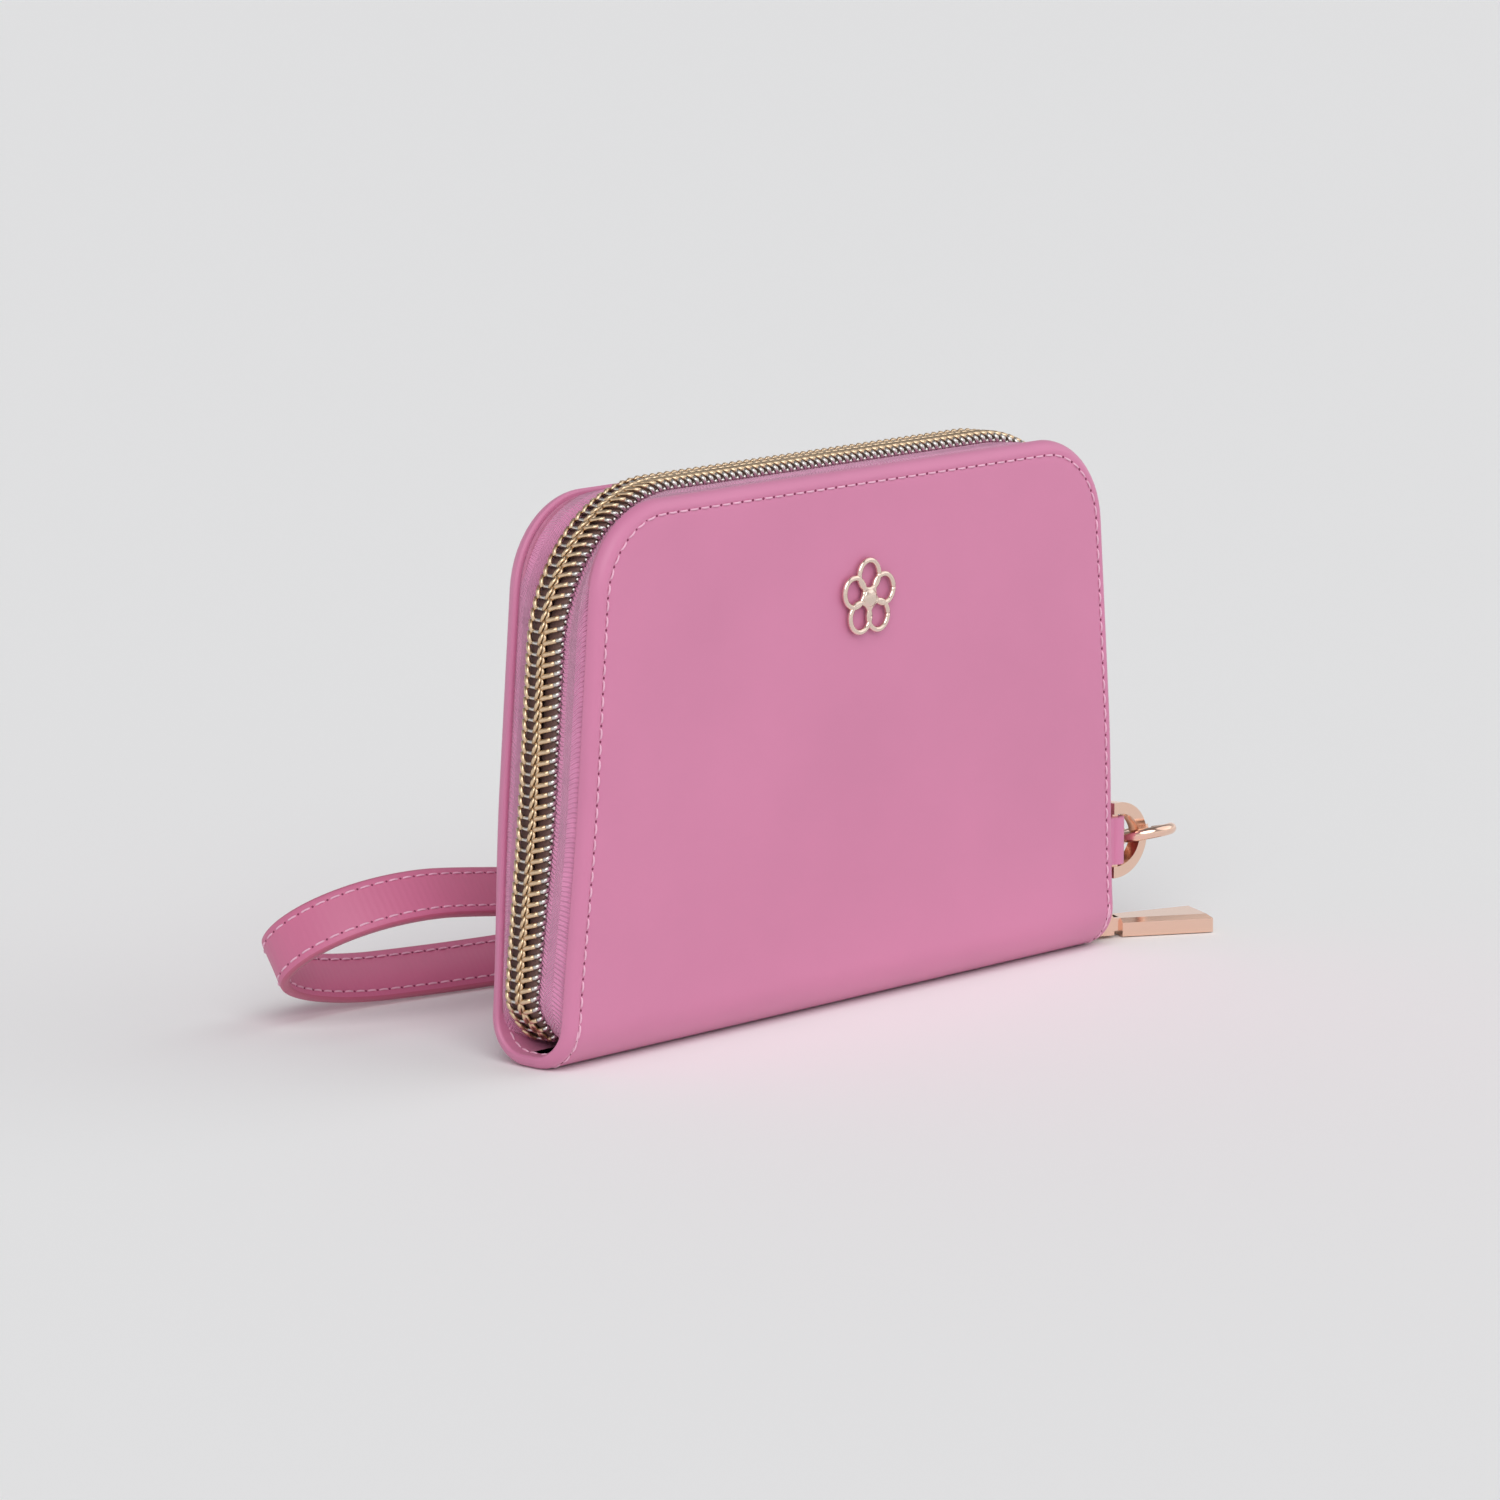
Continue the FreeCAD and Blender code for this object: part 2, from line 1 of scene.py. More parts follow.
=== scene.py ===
import json
import math
import bpy
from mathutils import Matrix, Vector

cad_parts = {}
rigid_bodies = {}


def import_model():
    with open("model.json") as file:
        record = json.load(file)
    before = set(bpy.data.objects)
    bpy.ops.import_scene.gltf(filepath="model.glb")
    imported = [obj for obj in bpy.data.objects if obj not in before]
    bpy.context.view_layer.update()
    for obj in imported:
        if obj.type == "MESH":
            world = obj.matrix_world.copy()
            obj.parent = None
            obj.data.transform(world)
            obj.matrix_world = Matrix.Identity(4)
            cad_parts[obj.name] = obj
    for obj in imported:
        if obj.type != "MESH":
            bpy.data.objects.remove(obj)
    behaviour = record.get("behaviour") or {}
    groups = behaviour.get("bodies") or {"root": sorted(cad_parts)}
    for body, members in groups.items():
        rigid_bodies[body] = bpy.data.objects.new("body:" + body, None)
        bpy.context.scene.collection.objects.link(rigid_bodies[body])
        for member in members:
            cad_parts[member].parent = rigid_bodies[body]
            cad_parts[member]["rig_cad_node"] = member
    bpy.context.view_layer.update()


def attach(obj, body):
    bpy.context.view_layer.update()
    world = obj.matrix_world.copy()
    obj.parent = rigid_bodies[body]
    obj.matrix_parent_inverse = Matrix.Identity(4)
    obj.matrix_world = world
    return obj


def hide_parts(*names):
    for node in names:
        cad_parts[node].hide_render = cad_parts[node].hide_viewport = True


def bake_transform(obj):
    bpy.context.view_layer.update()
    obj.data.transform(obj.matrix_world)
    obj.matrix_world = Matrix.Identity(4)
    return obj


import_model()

MM = 0.001

# The cover, in millimetres: X along the spine, -Y is the front, Z is up.
HEIGHT = 100.0
HALF_DEPTH = 10.0
SPINE_HALF_WIDTH = 76.9
LEAN = math.radians(4.72)
CORNER_RADIUS = 17.5
BEND_RADIUS = 8.6
COVER_THICKNESS = 2.4
RIM_RADIUS = 2.1
SEAM_INSET = 2.6
STITCH_PITCH = 2.8
THREAD_RADIUS = 0.19
BULGE = 1.3
BULGE_START = 8.0
BULGE_FULL = 48.0
GROOVE_DEPTH = 0.15
GROOVE_WIDTH = 0.42
FOLD_EDGE = 0.4
THREAD_SINK = 0.12
SEAM_HOLE_RADIUS = 0.27
SEAM_STITCH_GAP = 0.4
BACKTACK_STITCHES = 5

# Zip chain. Its corners are rounder than the cover's.
CHAIN_CORNER_RADIUS = 28.0
COIL_PITCH = 1.93
COIL_WIRE = 0.40
CHAIN_FOOT = 4.0
BACK_CHAIN_FOOT = 15.0
TAPE_EDGE = 8.3
TAPE_THICKNESS = 0.45
# Thickness of the dark strip under the coil, which paints the shade seen between the loops.
SHADE_STRIP_THICKNESS = 0.05
CHAIN_HALF_WIDTH = 3.6
CHAIN_SLACK = 1.2
DIVE_TOP = 13.0
DIVE_HEIGHT = 9.0
DIVE_DEPTH = 8.2
ZIP_STEPS = 300

# Wrist strap.
HOOK_CENTRE = Vector((87.4, -7.4, 20.5))
HOOK_AXIS = Vector((-0.08, 0.972, -0.22))
HOOK_LENGTH = 30.0
STRAP_WIDTH = 10.0
STRAP_THICKNESS = 1.8
STRAP_REACH = 171.5
STRAP_TIP = 27.3
STRAP_SHOULDER = STRAP_REACH - STRAP_TIP
STRAP_SEWN_END = 16.0
STRAP_FLARE_END = 80.0
EYE_SPREAD = 2.0
UPPER_SPREAD = 16.4
LOWER_SPREAD = 12.4
STRAP_SAG = 5.0
STRAP_LEAN = math.radians(48.65)
STRAP_HEADING = math.radians(-11.46)
STRAP_SEAM_INSET = 1.5
STRAP_SEAM_START = 4.0
STRAP_STITCH_GAP = 0.35
STRAP_HOLE_RADIUS = 0.24

# Flower ornament.
FLOWER_CENTRE = Vector((1.0, -10.7, 76.5))
PETAL_RADIUS = 2.7
PETAL_OFFSET = 4.2
PETAL_WIRE = 0.55
PETALS = 5

# Camera and floor.
CAMERA_PLACE = Vector((-957.0, -842.4, 270.1))
CAMERA_AZIMUTH = math.radians(48.11)
CAMERA_ELEVATION = math.radians(9.92)
CAMERA_LENS = 169.5
FLOOR_HALF_SIZE = 4000.0

# Colours, linear.
COVER_PINK = (0.62, 0.205, 0.36)
STRAP_PINK = (0.60, 0.160, 0.290)
TAPE_PINK = (0.74, 0.275, 0.475)
EDGE_PINK = (0.50, 0.115, 0.20)
THREAD_PINK = (0.80, 0.46, 0.60)
# Painted shade: the dark colour of the needle holes' shaded recesses.
HOLE_SHADE_PINK = (0.22, 0.035, 0.09)
LINING_PINK = (0.55, 0.20, 0.32)
ROSE_GOLD = (0.90, 0.62, 0.49)
PALE_GOLD = (0.82, 0.66, 0.56)
COIL_GOLD = (0.80, 0.60, 0.40)
COIL_SILVER = (0.70, 0.67, 0.64)
# Painted shade: a dark strip under the coil stands for the shade between its loops.
COIL_GAP_SHADE = (0.16, 0.085, 0.075)


# ---------------------------------------------------------------- materials
def new_material(name, colour, roughness, metallic=0.0):
    material = bpy.data.materials.new(name)
    material.use_nodes = True
    shader = material.node_tree.nodes["Principled BSDF"]
    shader.inputs["Base Color"].default_value = (*colour, 1.0)
    shader.inputs["Roughness"].default_value = roughness
    shader.inputs["Metallic"].default_value = metallic
    return material, shader


def add_node(material, kind, **values):
    node = material.node_tree.nodes.new(kind)
    for key, value in values.items():
        node.inputs[key].default_value = value
    return node


def link(material, source, output, target, socket):
    material.node_tree.links.new(source.outputs[output], target.inputs[socket])


def mottle(material, shader, colour, scale, amount):
    """Slow variation of the colour, a few percent lighter and darker."""
    place = add_node(material, "ShaderNodeTexCoord")
    noise = add_node(material, "ShaderNodeTexNoise", Scale=scale, Detail=3.0)
    ramp = material.node_tree.nodes.new("ShaderNodeValToRGB")
    ramp.color_ramp.elements[0].position = 0.3
    ramp.color_ramp.elements[1].position = 0.7
    ramp.color_ramp.elements[0].color = (*[c * (1 - amount) for c in colour], 1.0)
    ramp.color_ramp.elements[1].color = (*[min(c * (1 + amount), 1.0) for c in colour], 1.0)
    link(material, place, "Object", noise, "Vector")
    link(material, noise, "Fac", ramp, "Fac")
    link(material, ramp, "Color", shader, "Base Color")
    return place


def leather(name, colour, roughness, grain_size, grain_depth, rib_pitch=None):
    """Coated leather: pebble grain, or fine ribs across a strap, and uneven colour and gloss."""
    material, shader = new_material(name, colour, roughness)
    place = mottle(material, shader, colour, 28.0, 0.035)
    cells = add_node(material, "ShaderNodeTexVoronoi", Scale=1.0 / (grain_size * MM))
    cells.feature = "DISTANCE_TO_EDGE"
    fibres = add_node(material, "ShaderNodeTexNoise", Scale=0.4 / (grain_size * MM), Detail=4.0)
    join = material.node_tree.nodes.new("ShaderNodeMath")
    join.operation = "ADD"
    bump = add_node(material, "ShaderNodeBump", Strength=0.35, Distance=grain_depth * MM)
    gloss_noise = add_node(material, "ShaderNodeTexNoise", Scale=60.0, Detail=2.0)
    gloss = material.node_tree.nodes.new("ShaderNodeMapRange")
    gloss.inputs["To Min"].default_value = roughness - 0.05
    gloss.inputs["To Max"].default_value = roughness + 0.07
    link(material, place, "Object", cells, "Vector")
    link(material, place, "Object", fibres, "Vector")
    link(material, place, "Object", gloss_noise, "Vector")
    link(material, cells, "Distance", join, 0)
    link(material, fibres, "Fac", join, 1)
    if rib_pitch:
        ribs = add_node(material, "ShaderNodeTexWave", Scale=1.0 / rib_pitch, Distortion=0.6)
        ribs.inputs["Detail Scale"].default_value = 2.0
        link(material, place, "UV", ribs, "Vector")
        link(material, ribs, "Color", join, 0)
    link(material, join, "Value", bump, "Height")
    link(material, bump, "Normal", shader, "Normal")
    link(material, gloss_noise, "Fac", gloss, "Value")
    link(material, gloss, "Result", shader, "Roughness")
    shader.inputs["Sheen Weight"].default_value = 0.08
    return material


def woven(name, colour, thread, depth):
    """Herringbone cloth from the mesh's own UV map, which is in millimetres."""
    material, shader = new_material(name, colour, 0.75)
    place = mottle(material, shader, colour, 300.0, 0.07)
    split = material.node_tree.nodes.new("ShaderNodeSeparateXYZ")
    fold = material.node_tree.nodes.new("ShaderNodeMath")
    fold.operation = "PINGPONG"
    fold.inputs[1].default_value = 1.6
    total = material.node_tree.nodes.new("ShaderNodeMath")
    total.operation = "ADD"
    turns = material.node_tree.nodes.new("ShaderNodeMath")
    turns.operation = "MULTIPLY"
    turns.inputs[1].default_value = 2 * math.pi / thread
    wave = material.node_tree.nodes.new("ShaderNodeMath")
    wave.operation = "SINE"
    fuzz = add_node(material, "ShaderNodeTexNoise", Scale=2500.0, Detail=2.0)
    join = material.node_tree.nodes.new("ShaderNodeMath")
    join.operation = "ADD"
    bump = add_node(material, "ShaderNodeBump", Strength=0.8, Distance=depth * MM)
    link(material, place, "UV", split, "Vector")
    link(material, split, "Y", fold, 0)
    link(material, split, "X", total, 0)
    link(material, fold, "Value", total, 1)
    link(material, total, "Value", turns, 0)
    link(material, turns, "Value", wave, 0)
    link(material, place, "Object", fuzz, "Vector")
    link(material, wave, "Value", join, 0)
    link(material, fuzz, "Fac", join, 1)
    link(material, join, "Value", bump, "Height")
    link(material, bump, "Normal", shader, "Normal")
    shader.inputs["Sheen Weight"].default_value = 0.35
    return material


def metal(name, colour, roughness):
    """Plated metal with faint polishing marks in its gloss."""
    material, shader = new_material(name, colour, roughness, 1.0)
    place = add_node(material, "ShaderNodeTexCoord")
    noise = add_node(material, "ShaderNodeTexNoise", Scale=400.0, Detail=3.0)
    gloss = material.node_tree.nodes.new("ShaderNodeMapRange")
    gloss.inputs["To Min"].default_value = roughness * 0.8
    gloss.inputs["To Max"].default_value = roughness * 1.3
    link(material, place, "Object", noise, "Vector")
    link(material, noise, "Fac", gloss, "Value")
    link(material, gloss, "Result", shader, "Roughness")
    return material


def linen(name, colour):
    """Plain woven cloth, for the linings and the sewing thread."""
    material, shader = new_material(name, colour, 0.8)
    place = mottle(material, shader, colour, 500.0, 0.08)
    noise = add_node(material, "ShaderNodeTexNoise", Scale=3000.0, Detail=2.0)
    bump = add_node(material, "ShaderNodeBump", Strength=0.3, Distance=0.05 * MM)
    link(material, place, "Object", noise, "Vector")
    link(material, noise, "Fac", bump, "Height")
    link(material, bump, "Normal", shader, "Normal")
    return material


cover_leather = leather("cover_leather", COVER_PINK, 0.46, 0.55, 0.020)
strap_leather = leather("strap_leather", STRAP_PINK, 0.50, 0.50, 0.060, rib_pitch=4.0)
edge_paint = leather("edge_paint", EDGE_PINK, 0.38, 0.80, 0.015)
tape_cloth = woven("tape_cloth", TAPE_PINK, 0.80, 0.16)
lining_cloth = linen("lining_cloth", LINING_PINK)
thread_cotton = linen("thread_cotton", THREAD_PINK)
# The stitch holes' painted shade.
hole_shadow, _ = new_material("stitch_hole_shade", HOLE_SHADE_PINK, 0.9)
rose_gold = metal("rose_gold", ROSE_GOLD, 0.14)
pale_gold = metal("pale_gold", PALE_GOLD, 0.20)
coil_gold = metal("coil_gold", COIL_GOLD, 0.34)
coil_silver = metal("coil_silver", COIL_SILVER, 0.28)
coil_gap_shade, _ = new_material("coil_gap_shade", COIL_GAP_SHADE, 0.8)


# ---------------------------------------------------------------- mesh helpers
def make_piece(name, points, faces, materials, face_materials=None, uvs=None, smooth=True):
    """A mesh object from points in millimetres."""
    mesh = bpy.data.meshes.new(name)
    mesh.from_pydata([tuple(c * MM for c in p) for p in points], [], faces)
    for material in materials:
        mesh.materials.append(material)
    if face_materials:
        mesh.polygons.foreach_set("material_index", face_materials)
    if uvs:
        layer = mesh.uv_layers.new(name="UVMap")
        for loop in mesh.loops:
            layer.data[loop.index].uv = uvs[loop.vertex_index]
    mesh.polygons.foreach_set("use_smooth", [smooth] * len(mesh.polygons))
    mesh.update()
    piece = bpy.data.objects.new(name, mesh)
    bpy.context.scene.collection.objects.link(piece)
    return piece


class Builder:
    """Collects tubes and blobs into one mesh."""

    def __init__(self):
        self.points = []
        self.faces = []
        self.kinds = []

    def tube(self, path, radii, sides=6, kinds=None):
        start = len(self.points)
        count = len(path)
        first = (path[1] - path[0]).normalized()
        side = first.cross(Vector((0, 0, 1)) if abs(first.z) < 0.9 else Vector((1, 0, 0)))
        for i, centre in enumerate(path):
            before = path[max(i - 1, 0)]
            after = path[min(i + 1, count - 1)]
            along = (after - before).normalized()
            side = (side - along * side.dot(along)).normalized()
            up = along.cross(side)
            for k in range(sides):
                a = 2 * math.pi * k / sides
                offset = side * (math.cos(a) * radii[i]) + up * (math.sin(a) * radii[i])
                self.points.append(centre + offset)
        for i in range(count - 1):
            for k in range(sides):
                a = start + i * sides + k
                b = start + i * sides + (k + 1) % sides
                self.faces.append((a, b, b + sides, a + sides))
                self.kinds.append(kinds[i] if kinds else 0)
        self.faces.append(tuple(start + k for k in range(sides))[::-1])
        self.faces.append(tuple(start + (count - 1) * sides + k for k in range(sides)))
        self.kinds += [kinds[0] if kinds else 0, kinds[-1] if kinds else 0]

    def stitch(self, a, b, outward):
        """A thread that rises out of one hole and dips into the next."""
        along = b - a
        lift = outward * THREAD_RADIUS
        path = [a - lift, a + along * 0.16 + lift * 0.5, a + along * 0.5 + lift]
        path += [b - along * 0.16 + lift * 0.5, b - lift]
        radii = [THREAD_RADIUS * r for r in (0.55, 0.95, 1.0, 0.95, 0.55)]
        self.tube(path, radii)

    def hole(self, centre, outward, radius):
        """Painted shade of a needle hole: a dark shallow disc on the surface."""
        self.tube([centre - outward * 0.25, centre + outward * 0.05], [radius, radius * 0.9], 8, [1, 1])

    def piece(self, name, materials):
        return make_piece(name, self.points, self.faces, materials, self.kinds)


# ---------------------------------------------------------------- outline
def ease(value, low, high):
    """0 below low, 1 above high, and smooth between."""
    t = min(max((value - low) / (high - low), 0.0), 1.0)
    return t * t * (3 - 2 * t)


def half_width(z):
    return SPINE_HALF_WIDTH - z * math.tan(LEAN)


def swell(z):
    """The closed wallet is thicker above its spine: the factor on every y."""
    return 1.0 + BULGE / HALF_DEPTH * ease(z, BULGE_START, BULGE_FULL)


class Rail:
    """A line up the left side, over the top and down the right, with round corners."""

    def __init__(self, radius, offset, low):
        self.radius = radius + offset
        self.offset = offset
        self.low = low
        self.centre_z = HEIGHT - radius
        self.centre_x = half_width(self.centre_z) - radius / math.cos(LEAN)
        self.side = (self.centre_z + self.radius * math.sin(LEAN) - low) / math.cos(LEAN)
        self.arc = self.radius * (math.pi / 2 - LEAN)
        self.length = 2 * (self.side + self.arc + self.centre_x)

    def at(self, s):
        """x, z and the outward normal at distance s from the left foot."""
        mirror = 1.0
        if s > self.length / 2:
            s = self.length - s
            mirror = -1.0
        if s <= self.side:
            z = self.low + s * math.cos(LEAN)
            x = -(half_width(z) + self.offset / math.cos(LEAN))
            nx, nz = -math.cos(LEAN), math.sin(LEAN)
        elif s <= self.side + self.arc:
            angle = LEAN + (s - self.side) / self.radius
            nx, nz = -math.cos(angle), math.sin(angle)
            x = -self.centre_x + self.radius * nx
            z = self.centre_z + self.radius * nz
        else:
            x = -self.centre_x + (s - self.side - self.arc)
            z = self.centre_z + self.radius
            nx, nz = 0.0, 1.0
        return mirror * x, z, mirror * nx, nz

    def matching(self, other, s):
        """The distance along this rail that goes with distance s along the other."""
        flip = s > other.length / 2
        if flip:
            s = other.length - s
        if s <= other.side:
            d = self.side * s / other.side
        elif s <= other.side + other.arc:
            d = self.side + self.arc * (s - other.side) / other.arc
        else:
            d = self.side + self.arc
            d += (s - other.side - other.arc) * self.centre_x / other.centre_x
        return self.length - d if flip else d


COVER_RAIL = Rail(CORNER_RADIUS, 0.0, CHAIN_FOOT)
CHAIN_RAIL = Rail(CHAIN_CORNER_RADIUS, 0.0, CHAIN_FOOT)
SEAM_RAIL = Rail(CORNER_RADIUS, -SEAM_INSET, BEND_RADIUS)


def edge_distance(x, z):
    """How far inside the outline a point of a cover lies."""
    across = abs(x)
    centre_x, centre_z = COVER_RAIL.centre_x, COVER_RAIL.centre_z
    if across > centre_x and z > centre_z:
        return CORNER_RADIUS - math.hypot(across - centre_x, z - centre_z)
    return min((half_width(z) - across) * math.cos(LEAN), HEIGHT - z)


# ---------------------------------------------------------------- cover
EDGE_STEPS = [0, 0.03, 0.1, 0.22, 0.4, 0.65, 0.95, 1.3, 1.7, 2.1]
EDGE_STEPS += [2.35, 2.6, 2.85, 3.2, 3.8, 4.8, 6.2, 8.0]
BEND_STEPS = 14
FACE_ROWS = 52
INNER_COLUMNS = 14
SPINE_STRIP = 0.7


def bend_profile():
    """The front bend from its top to the flat strip: y, z and outward normal."""
    flat = HALF_DEPTH - BEND_RADIUS
    rows = []
    for step in range(1, BEND_STEPS + 1):
        a = math.pi / 2 * step / BEND_STEPS
        y = -flat - BEND_RADIUS * math.cos(a)
        rows.append((y, BEND_RADIUS - BEND_RADIUS * math.sin(a), -math.cos(a), -math.sin(a)))
    return rows


def cover_rows():
    """Rows down the front, round the spine and up the back: y, z and normal."""
    heights = [HEIGHT - d for d in EDGE_STEPS]
    span = heights[-1] - BEND_RADIUS
    heights += [heights[-1] - span * k / FACE_ROWS for k in range(1, FACE_ROWS + 1)]
    front = [(-HALF_DEPTH, h, -1.0, 0.0) for h in heights] + bend_profile()
    middle = [(y, 0.0, 0.0, -1.0) for y in (-SPINE_STRIP, 0.0, SPINE_STRIP)]
    back = [(-y, z, -ny, nz) for y, z, ny, nz in front[::-1]]
    return front + middle + back


def outer_face(distance):
    """The leather rolls back round its folded edge, and the seam pulls a groove."""
    reach = RIM_RADIUS - min(max(distance, 0.0), RIM_RADIUS)
    roll = RIM_RADIUS - math.sqrt(max(RIM_RADIUS**2 - reach**2, 0.0))
    groove = GROOVE_DEPTH * math.exp(-(((distance - SEAM_INSET) / GROOVE_WIDTH) ** 2))
    return -min(roll, RIM_RADIUS - 0.1) - groove


def inner_face(distance):
    share = min(max(distance, 0.0) / FOLD_EDGE, 1.0)
    return -RIM_RADIUS - (COVER_THICKNESS - RIM_RADIUS) * share


def row_width(z):
    if z <= COVER_RAIL.centre_z + CORNER_RADIUS * math.sin(LEAN):
        return half_width(z)
    rise = z - COVER_RAIL.centre_z
    return COVER_RAIL.centre_x + math.sqrt(max(CORNER_RADIUS**2 - rise**2, 0.0))


def make_cover():
    rows = cover_rows()
    outer, inner = [], []
    for y, z, ny, nz in rows:
        width = row_width(z)
        remaining = width - EDGE_STEPS[-1]
        insets = list(EDGE_STEPS)
        insets += [EDGE_STEPS[-1] + remaining * k / INNER_COLUMNS for k in range(1, INNER_COLUMNS + 1)]
        xs = [-(width - d) for d in insets]
        xs += [-x for x in xs[-2::-1]]
        for x in xs:
            distance = edge_distance(x, z)
            face, back = outer_face(distance), inner_face(distance)
            outer.append((x, (y + ny * face) * swell(z), z + nz * face))
            inner.append((x, (y + ny * back) * swell(z), z + nz * back))
    columns = len(outer) // len(rows)
    count = len(outer)
    faces = []
    for r in range(len(rows) - 1):
        for c in range(columns - 1):
            a = r * columns + c
            d = a + columns
            faces.append((a, d, d + 1, a + 1))
            faces.append((count + a, count + a + 1, count + d + 1, count + d))
        for c in (0, columns - 1):
            a = r * columns + c
            quad = (a, count + a, count + a + columns, a + columns)
            faces.append(quad if c == 0 else quad[::-1])
    for r in (0, len(rows) - 1):
        for c in range(columns - 1):
            a = r * columns + c
            quad = (a, a + 1, count + a + 1, count + a)
            faces.append(quad if r == 0 else quad[::-1])
    piece = make_piece("leather_cover", outer + inner, faces, [cover_leather])
    bend_with_spine(piece)
    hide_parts("front_cover", "back_cover", "front_turned_edge", "back_turned_edge")
    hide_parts("front_board", "back_board", "spine_board")


def bend_with_spine(piece):
    """Bakes the piece's transform into its mesh; nothing here folds it when the wallet opens."""
    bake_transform(piece)


def seam_line():
    """Points and outward normals of the seam, once round the whole cover."""
    line = []
    steps = 240
    depth = HALF_DEPTH - THREAD_SINK

    def across(side, s):
        x, z, _, _ = SEAM_RAIL.at(s)
        line.append((Vector((x, side * depth * swell(z), z)), Vector((0, side, 0))))

    def round_bend(sign):
        rows = bend_profile()
        rows += [(-y, z, -ny, nz) for y, z, ny, nz in rows[::-1]]
        for y, z, ny, nz in rows[:: -sign]:
            x = -sign * (half_width(z) - SEAM_INSET)
            point = Vector((x, y - ny * THREAD_SINK, z - nz * THREAD_SINK))
            line.append((point, Vector((0, ny, nz))))

    for step in range(steps + 1):
        across(-1, SEAM_RAIL.length * step / steps)
    round_bend(-1)
    for step in range(steps, -1, -1):
        across(1, SEAM_RAIL.length * step / steps)
    round_bend(1)
    line.append(line[0])
    return line


class Path:
    """Looks up a point and normal by distance along a line."""

    def __init__(self, line):
        self.line = line
        self.lengths = [0.0]
        for (a, _), (b, _) in zip(line, line[1:]):
            self.lengths.append(self.lengths[-1] + (b - a).length)
        self.total = self.lengths[-1]
        self.index = 0

    def at(self, s):
        while self.index > 0 and self.lengths[self.index] > s:
            self.index -= 1
        while self.index < len(self.line) - 2 and self.lengths[self.index + 1] < s:
            self.index += 1
        i = self.index
        t = (s - self.lengths[i]) / max(self.lengths[i + 1] - self.lengths[i], 1e-9)
        point = self.line[i][0].lerp(self.line[i + 1][0], t)
        normal = self.line[i][1].lerp(self.line[i + 1][1], t).normalized()
        return point, normal


def make_cover_seam():
    seam = Builder()
    path = Path(seam_line())
    count = round(path.total / STITCH_PITCH)
    pitch = path.total / count
    inside = COVER_THICKNESS - 2 * THREAD_SINK
    for i in range(count):
        hole, hole_normal = path.at(i * pitch)
        a, normal = path.at(i * pitch + SEAM_STITCH_GAP)
        b, _ = path.at((i + 1) * pitch - SEAM_STITCH_GAP)
        seam.hole(hole, hole_normal, SEAM_HOLE_RADIUS)
        seam.stitch(a, b, normal)
        if hole.z < BEND_RADIUS:
            seam.stitch(a - normal * inside, b - normal * inside, -normal)
    for sign in (-1, 1):
        for k in range(BACKTACK_STITCHES):
            z = 3.2 + 0.9 * k
            x = sign * (half_width(z) - SEAM_INSET + 0.35 * (k % 2))
            y = -(HALF_DEPTH - BEND_RADIUS) - math.sqrt(BEND_RADIUS**2 - (BEND_RADIUS - z) ** 2)
            start = Vector((x, y + 0.1, z))
            seam.stitch(start, start + Vector((0.12, -0.25, 2.1)), Vector((0, -1, 0)))
    piece = seam.piece("cover_stitches", [thread_cotton, hole_shadow])
    bend_with_spine(piece)


# ---------------------------------------------------------------- zip
def gusset_point(s, y, offset):
    """A point of the zip's strip: s along the chain, y across it, offset outward."""
    share = ease(TAPE_EDGE - abs(y), 0.0, TAPE_EDGE - CHAIN_HALF_WIDTH)
    inner = CHAIN_RAIL.at(s)
    outer = COVER_RAIL.at(COVER_RAIL.matching(CHAIN_RAIL, s))
    x, z, nx, nz = (o + (i - o) * share for i, o in zip(inner, outer))
    x += nx * offset
    z += nz * offset
    slack = CHAIN_SLACK * share * (1 - ease(z, BULGE_START, BULGE_FULL)) * ease(-x, 0.0, 40.0)
    dive = 0.0
    if x < 0 and z < DIVE_TOP:
        dive = DIVE_DEPTH * ((DIVE_TOP - z) / DIVE_HEIGHT) ** 1.7 * (1.0 - (y / TAPE_EDGE) ** 2)
    return Vector((x + dive, (y + slack) * swell(z), z))


# Cross-sections as (y, offset) points, from the outer edge to the middle.
TAPE_PROFILE = [(8.3, -1.7), (7.6, -1.0), (6.7, -0.45), (5.7, -0.1)]
TAPE_PROFILE += [(4.7, 0.05), (3.8, 0.0), (2.4, 0.0), (0.8, 0.0)]
# The dark strip under the coil: painted shade seen through the gaps between the loops.
SHADE_STRIP_PROFILE = [(3.1, 0.15), (3.0, 0.8), (0.5, 0.85), (0.3, 0.15)]


def sweep_strip(name, side, profile, thickness, material):
    """A strip with the given (y, offset) profile, swept along the whole zip."""
    ring_profile = [(side * y, o) for y, o in profile]
    ring_profile += [(side * y, o - thickness) for y, o in profile[::-1]]
    ring = len(ring_profile)
    points, uvs, faces = [], [], []
    for i in range(ZIP_STEPS + 1):
        s = CHAIN_RAIL.length * i / ZIP_STEPS
        for y, o in ring_profile:
            points.append(gusset_point(s, y, o))
            uvs.append((s, abs(y) * 1.1))
    for i in range(ZIP_STEPS):
        for k in range(ring):
            m = (k + 1) % ring
            quad = (i * ring + k, i * ring + m, (i + 1) * ring + m, (i + 1) * ring + k)
            faces.append(quad if side < 0 else quad[::-1])
    first = tuple(range(ring))
    last = tuple(ZIP_STEPS * ring + k for k in range(ring))
    faces.append(first[::-1] if side < 0 else first)
    faces.append(last if side < 0 else last[::-1])
    return make_piece(name, points, faces, [material], uvs=uvs)


def make_tape(name, side, body, node):
    piece = sweep_strip(name, side, TAPE_PROFILE, TAPE_THICKNESS, tape_cloth)
    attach(piece, body)
    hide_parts(node)
    # A dark strip under the coil, painting the shade seen between its wire loops.
    shade_strip = sweep_strip(name + "_painted_shade", side, SHADE_STRIP_PROFILE, SHADE_STRIP_THICKNESS, coil_gap_shade)
    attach(shade_strip, body)


